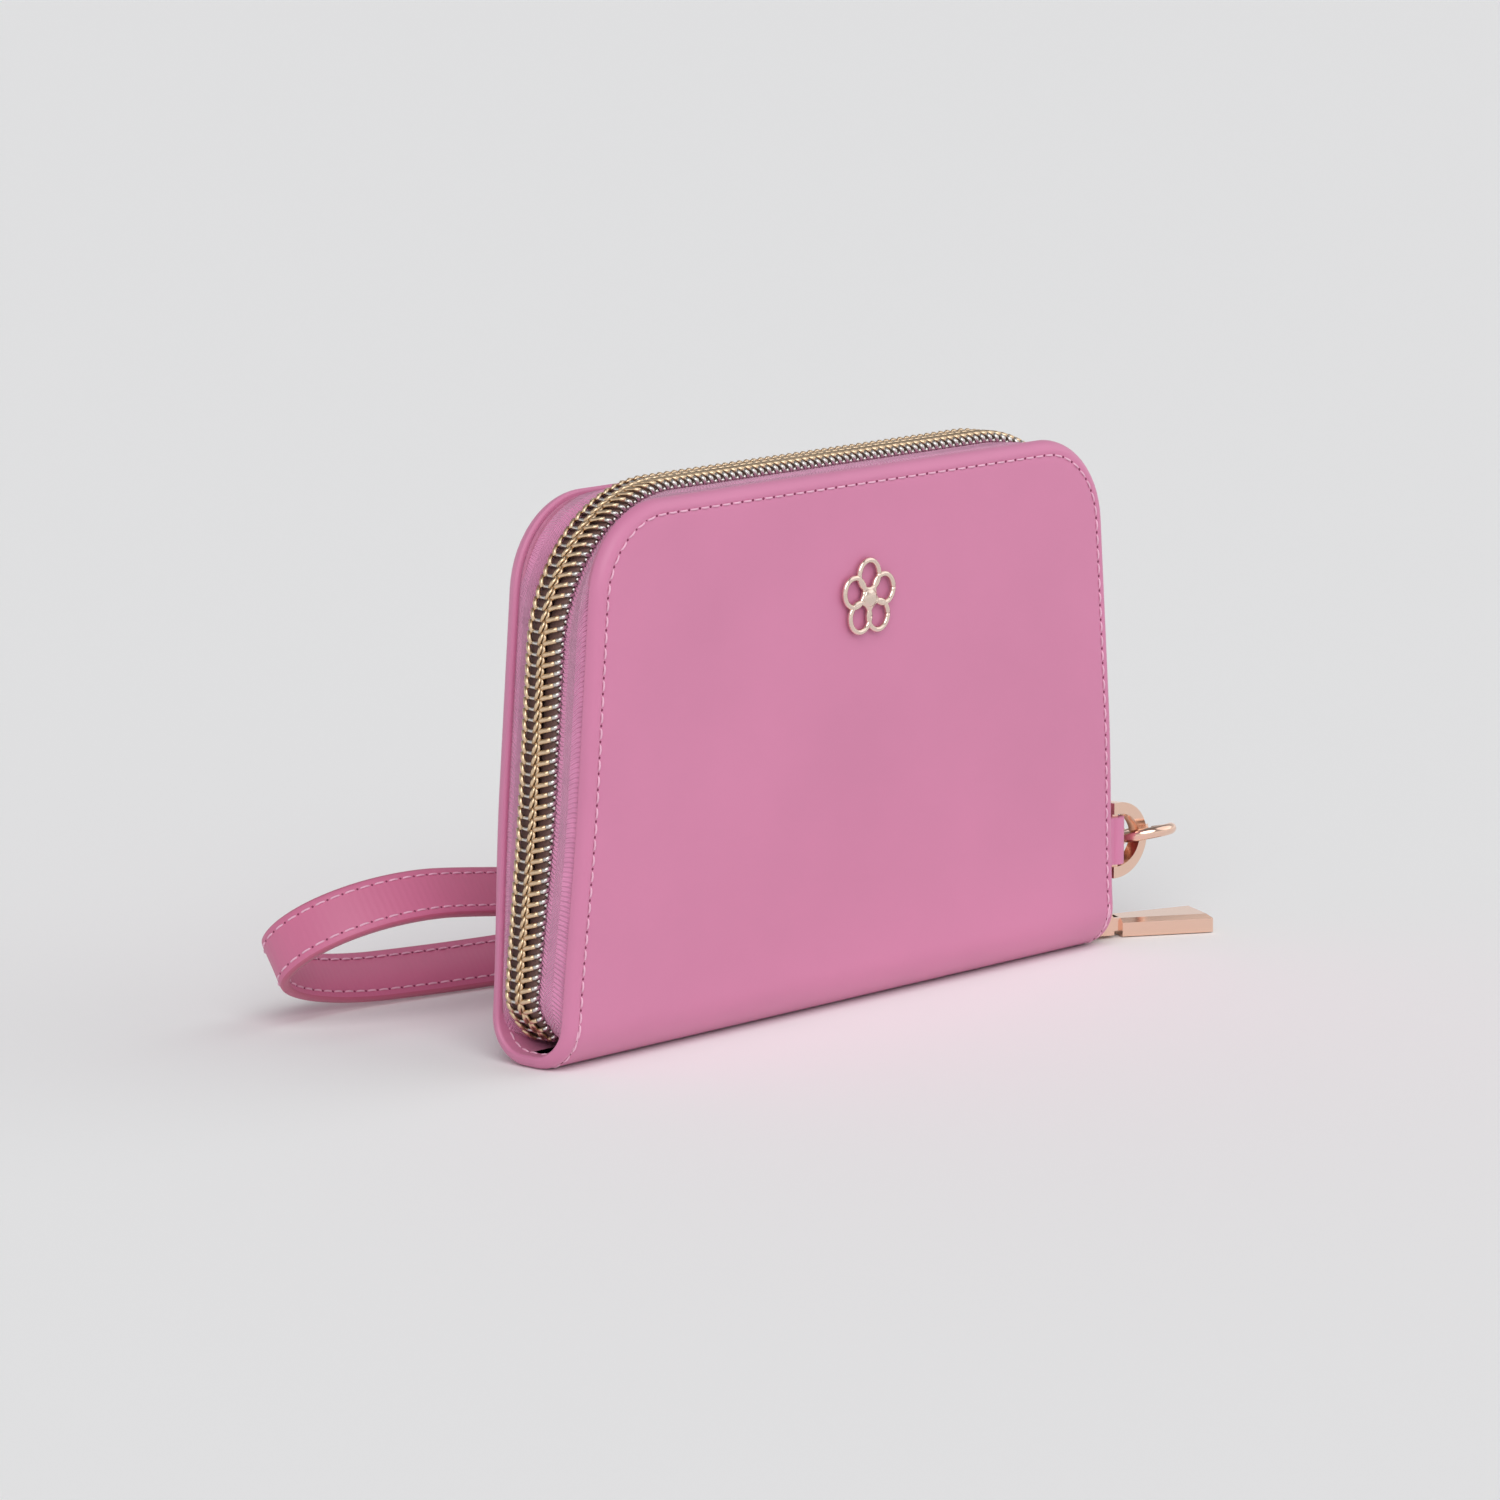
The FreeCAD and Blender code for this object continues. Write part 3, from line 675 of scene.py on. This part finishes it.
# Each stroke of a coil loop: (y, offset, lead in pitches) points, radius share, material.
FRONT_STROKES = [
    ([(0.1, 1.35, 0.0), (0.9, 1.72, 0.1), (1.9, 1.75, 0.28), (2.8, 1.5, 0.45)], 1.15, 0),
    ([(2.7, 1.5, 0.42), (3.3, 1.0, 0.6), (3.3, 0.1, 0.78)], 1.1, 1),
    ([(0.15, 1.5, 0.0), (0.5, 1.55, 0.5), (0.15, 1.5, 1.0)], 0.8, 0),
    ([(3.25, 0.5, 0.1), (3.25, 0.1, 0.35)], 0.9, 1),
]
BACK_STROKES = [
    ([(0.5, 1.5, 0.0), (1.5, 1.55, 0.0), (2.6, 1.45, 0.0)], 0.85, 1),
    ([(2.35, 1.5, -0.1), (2.75, 1.7, 0.4), (3.1, 1.4, 0.95)], 1.1, 0),
    ([(0.75, 1.5, -0.1), (0.35, 1.72, 0.4), (0.05, 1.45, 0.95)], 1.05, 0),
    ([(3.0, 1.4, 0.0), (3.35, 0.8, 0.1), (3.25, 0.1, 0.2)], 0.95, 1),
]


def make_coil(name, side, body, nodes, skip_foot):
    """One row of the zip, whose wire loops lock with the other row at the middle."""
    strokes = FRONT_STROKES if side < 0 else BACK_STROKES
    total = CHAIN_RAIL.length
    coil = Builder()
    for i in range(int(total / COIL_PITCH)):
        start = i * COIL_PITCH
        if start > total / 2 and CHAIN_RAIL.at(start)[1] < skip_foot:
            continue
        for shape, share, kind in strokes:
            path = []
            for y, o, lead in shape:
                s = min(max(start + lead * COIL_PITCH, 0.0), total)
                path.append(gusset_point(s, side * y, o))
            radii = [COIL_WIRE * share] * len(path)
            coil.tube(path, radii, 6, [kind] * len(path))
    piece = coil.piece(name, [coil_gold, coil_silver])
    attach(piece, body)
    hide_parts(*nodes)


# ---------------------------------------------------------------- strap
def strap_axes():
    along = Vector((math.cos(STRAP_HEADING), math.sin(STRAP_HEADING), 0))
    level = Vector((-math.sin(STRAP_HEADING), math.cos(STRAP_HEADING), 0))
    across = level * math.cos(STRAP_LEAN) + Vector((0, 0, math.sin(STRAP_LEAN)))
    between = level * math.sin(STRAP_LEAN) - Vector((0, 0, math.cos(STRAP_LEAN)))
    return along, across, between


def strap_sag(s):
    reach = max(s - STRAP_SEWN_END, 0.0) / (STRAP_REACH - STRAP_SEWN_END)
    return STRAP_SAG * math.sin(math.pi * reach) ** 2


def strand_spread(s, full):
    """One strand's distance from the middle: sewn together, then flaring to full."""
    narrowing = 0.488
    power = 1.3
    flare = full * (1 - narrowing)
    slope = power * narrowing * full / (STRAP_SHOULDER - STRAP_FLARE_END)
    if s <= STRAP_SEWN_END:
        return EYE_SPREAD
    if s <= STRAP_FLARE_END:
        span = STRAP_FLARE_END - STRAP_SEWN_END
        t = (s - STRAP_SEWN_END) / span
        rise = t * t * (3 - 2 * t)
        return EYE_SPREAD + (flare - EYE_SPREAD) * rise + slope * span * t * t * (t - 1)
    back = max(STRAP_SHOULDER - s, 0.0) / (STRAP_SHOULDER - STRAP_FLARE_END)
    return full * (1 - narrowing * back**power)


def strap_path():
    """The loop in its own plane: (distance from the eye, spread) from strand to strand."""
    stations = frange(0.0, STRAP_SHOULDER, 2.0)
    upper = [(s, strap_sag(s) - strand_spread(s, UPPER_SPREAD)) for s in stations]
    lower = [(s, strap_sag(s) + strand_spread(s, LOWER_SPREAD)) for s in stations[::-1]]
    turn = []
    for step in range(0, 41):
        angle = -math.pi / 2 + math.pi * step / 40
        full = LOWER_SPREAD if angle > 0 else UPPER_SPREAD
        s = STRAP_SHOULDER + STRAP_TIP * math.cos(angle)
        turn.append((s, strap_sag(s) + full * math.sin(angle)))
    eye = []
    for step in range(1, 8):
        angle = math.pi / 2 + math.pi * step / 8
        eye.append((EYE_SPREAD * math.cos(angle), EYE_SPREAD * math.sin(angle)))
    return upper + turn + lower + eye


def frange(low, high, step):
    count = max(int(round((high - low) / step)), 1)
    return [low + (high - low) * i / count for i in range(count)]


def strap_frames():
    """Centre and outward normal of each station round the closed loop."""
    along, across, between = strap_axes()
    eye = HOOK_CENTRE + HOOK_AXIS * HOOK_LENGTH
    flat = strap_path()
    count = len(flat)
    frames = []
    for i, (s, t) in enumerate(flat):
        before, after = flat[i - 1], flat[(i + 1) % count]
        ds, dt = after[0] - before[0], after[1] - before[1]
        size = math.hypot(ds, dt)
        out_s, out_t = dt / size, -ds / size
        centre = eye - along * s + between * t
        normal = -along * out_s + between * out_t
        frames.append((centre, normal))
    return frames


def make_strap():
    across = strap_axes()[1]
    half = STRAP_WIDTH / 2
    thick = STRAP_THICKNESS / 2
    round_in = 0.35
    section = [(-half + round_in, thick), (-half * 0.8, thick + 0.05), (0, thick)]
    section += [(half * 0.8, thick + 0.05), (half - round_in, thick)]
    section += [(half, thick - round_in), (half, -thick + round_in)]
    section += [(half - round_in, -thick), (0, -thick), (-half + round_in, -thick)]
    section += [(-half, -thick + round_in), (-half, thick - round_in)]
    edge_spans = (4, 5, 6, 9, 10, 11)
    ring = len(section)
    frames = strap_frames()
    points, uvs = [], []
    travelled = 0.0
    for i, (centre, normal) in enumerate(frames):
        travelled += (centre - frames[max(i - 1, 0)][0]).length
        for w, n in section:
            points.append(centre + across * w + normal * n)
            uvs.append((travelled, w))
    faces, kinds = [], []
    count = len(frames)
    for i in range(count):
        j = (i + 1) % count
        for k in range(ring):
            m = (k + 1) % ring
            faces.append((i * ring + k, i * ring + m, j * ring + m, j * ring + k))
            kinds.append(1 if k in edge_spans else 0)
    piece = make_piece("strap_leather_loop", points, faces, [strap_leather, edge_paint], kinds, uvs)
    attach(piece, "wrist_strap")
    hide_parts("strap_outer", "strap_lining")
    strap_stitches(frames, across)


def strap_stitches(frames, across):
    path = Path(frames)
    seams = Builder()
    count = int((path.total - 6.0) / STITCH_PITCH)
    for i in range(count):
        start, normal = path.at(STRAP_SEAM_START + i * STITCH_PITCH + STRAP_STITCH_GAP)
        end, _ = path.at(STRAP_SEAM_START + (i + 1) * STITCH_PITCH - STRAP_STITCH_GAP)
        gap, gap_normal = path.at(STRAP_SEAM_START + i * STITCH_PITCH)
        for edge in (-1, 1):
            shift = across * (edge * (STRAP_WIDTH / 2 - STRAP_SEAM_INSET))
            for face in (-1, 1):
                lift = normal * (face * STRAP_THICKNESS / 2)
                seams.stitch(start + shift + lift, end + shift + lift, normal * face)
                hole_lift = gap_normal * (face * STRAP_THICKNESS / 2)
                seams.hole(gap + shift + hole_lift, gap_normal * face, STRAP_HOLE_RADIUS)
    piece = seams.piece("strap_stitches", [thread_cotton, hole_shadow])
    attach(piece, "wrist_strap")


# ---------------------------------------------------------------- small pieces
def make_flower():
    flower = Builder()
    middle = Vector((FLOWER_CENTRE.x, FLOWER_CENTRE.y * swell(FLOWER_CENTRE.z), FLOWER_CENTRE.z))
    for petal in range(PETALS):
        angle = math.pi / 2 + petal * 2 * math.pi / PETALS
        centre = middle + Vector((math.cos(angle), 0, math.sin(angle))) * PETAL_OFFSET
        path = []
        for step in range(33):
            a = 2 * math.pi * step / 32
            path.append(centre + Vector((math.cos(a), 0, math.sin(a))) * PETAL_RADIUS)
        flower.tube(path, [PETAL_WIRE] * len(path), 10)
    rings = [(-0.3, 1.9), (0.2, 1.9), (0.6, 1.6), (0.85, 1.1), (0.95, 0.3)]
    path = [middle + Vector((0, -depth, 0)) for depth, _ in rings]
    flower.tube(path, [radius for _, radius in rings], 20)
    piece = flower.piece("flower_wire", [pale_gold])
    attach(piece, "front_half")
    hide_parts("flower_ornament")


GOLD_NODES = ("d_ring", "hook_body", "hook_gate", "gate_pin", "swivel_eye", "zip_slider_body")
GOLD_NODES += ("puller_pin", "zip_puller", "coin_zip_slider", "coin_zip_pull")
LEATHER_NODES = ("ring_tab", "card_pocket_1", "card_pocket_2", "card_pocket_3", "card_pocket_4")
LEATHER_NODES += ("back_slip_pocket",)


def look_for(node):
    if node in GOLD_NODES:
        return rose_gold
    if node in LEATHER_NODES:
        return cover_leather
    if node == "coin_zip_teeth":
        return coil_gold
    if node == "coin_zip_tape":
        return tape_cloth
    if node == "strap_filler":
        return strap_leather
    return lining_cloth


def dress_cad_nodes():
    """Give every shown CAD node its material and a small rounded edge."""
    for piece in bpy.context.scene.objects:
        if "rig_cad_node" not in piece:
            continue
        node = piece["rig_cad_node"]
        piece.data.materials.clear()
        piece.data.materials.append(look_for(node))
        bevel = piece.modifiers.new("soft_edge", "BEVEL")
        bevel.width = 0.25 * MM if node in GOLD_NODES else 0.15 * MM
        bevel.segments = 2
        bevel.limit_method = "ANGLE"
        bevel.angle_limit = math.radians(40)
        bevel.harden_normals = False
        piece.data.polygons.foreach_set("use_smooth", [True] * len(piece.data.polygons))
        tidy = piece.modifiers.new("flat_faces", "WEIGHTED_NORMAL")
        tidy.keep_sharp = True


# ---------------------------------------------------------------- stage
def make_stage():
    floor_material, _ = new_material("floor", (0.92, 0.92, 0.92), 0.85)
    size = FLOOR_HALF_SIZE
    corners = [(-size, -size, 0), (size, -size, 0), (size, size, 0), (-size, size, 0)]
    floor = make_piece("floor", corners, [(0, 1, 2, 3)], [floor_material], smooth=False)
    world = bpy.data.worlds.new("studio")
    world.use_nodes = True
    nodes = world.node_tree.nodes
    links = world.node_tree.links
    place = nodes.new("ShaderNodeTexCoord")
    split = nodes.new("ShaderNodeSeparateXYZ")
    ramp = nodes.new("ShaderNodeValToRGB")
    ramp.color_ramp.elements[0].position = 0.05
    ramp.color_ramp.elements[0].color = (0.98, 0.98, 0.98, 1.0)
    ramp.color_ramp.elements[1].position = 0.7
    ramp.color_ramp.elements[1].color = (0.22, 0.22, 0.23, 1.0)
    links.new(place.outputs["Generated"], split.inputs["Vector"])
    links.new(split.outputs["Z"], ramp.inputs["Fac"])
    links.new(ramp.outputs["Color"], nodes["Background"].inputs["Color"])
    nodes["Background"].inputs["Strength"].default_value = 0.95
    bpy.context.scene.world = world


def add_sun(name, direction, strength, spread_deg):
    """Soft light from one side, like a large softbox."""
    light = bpy.data.lights.new(name, "SUN")
    light.energy = strength
    light.angle = math.radians(spread_deg)
    holder = bpy.data.objects.new(name, light)
    holder.rotation_mode = "QUATERNION"
    holder.rotation_quaternion = (-Vector(direction)).to_track_quat("-Z", "Y")
    bpy.context.scene.collection.objects.link(holder)


def make_camera():
    forward = Vector((math.sin(CAMERA_AZIMUTH) * math.cos(CAMERA_ELEVATION),
                      math.cos(CAMERA_AZIMUTH) * math.cos(CAMERA_ELEVATION),
                      -math.sin(CAMERA_ELEVATION)))
    camera = bpy.data.cameras.new("camera")
    camera.sensor_width = 36.0
    camera.lens = CAMERA_LENS
    holder = bpy.data.objects.new("camera", camera)
    holder.location = CAMERA_PLACE * MM
    holder.rotation_mode = "QUATERNION"
    holder.rotation_quaternion = forward.to_track_quat("-Z", "Y")
    bpy.context.scene.collection.objects.link(holder)
    bpy.context.scene.camera = holder


make_cover()
make_cover_seam()
make_tape("front_tape_cloth", -1, "front_half", "front_zip_tape")
make_tape("back_tape_cloth", 1, "back_half", "back_zip_tape")
make_coil("front_coil", -1, "front_half", ["front_zip_teeth", "zip_end_stop"], 0.0)
make_coil("back_coil", 1, "back_half", ["back_zip_teeth"], BACK_CHAIN_FOOT)
make_strap()
make_flower()
dress_cad_nodes()
make_stage()
add_sun("key", (-0.9, -1.0, 1.3), 1.5, 50)
add_sun("fill", (0.8, -0.6, 0.9), 0.7, 60)
make_camera()
bpy.context.scene.view_settings.view_transform = "Standard"
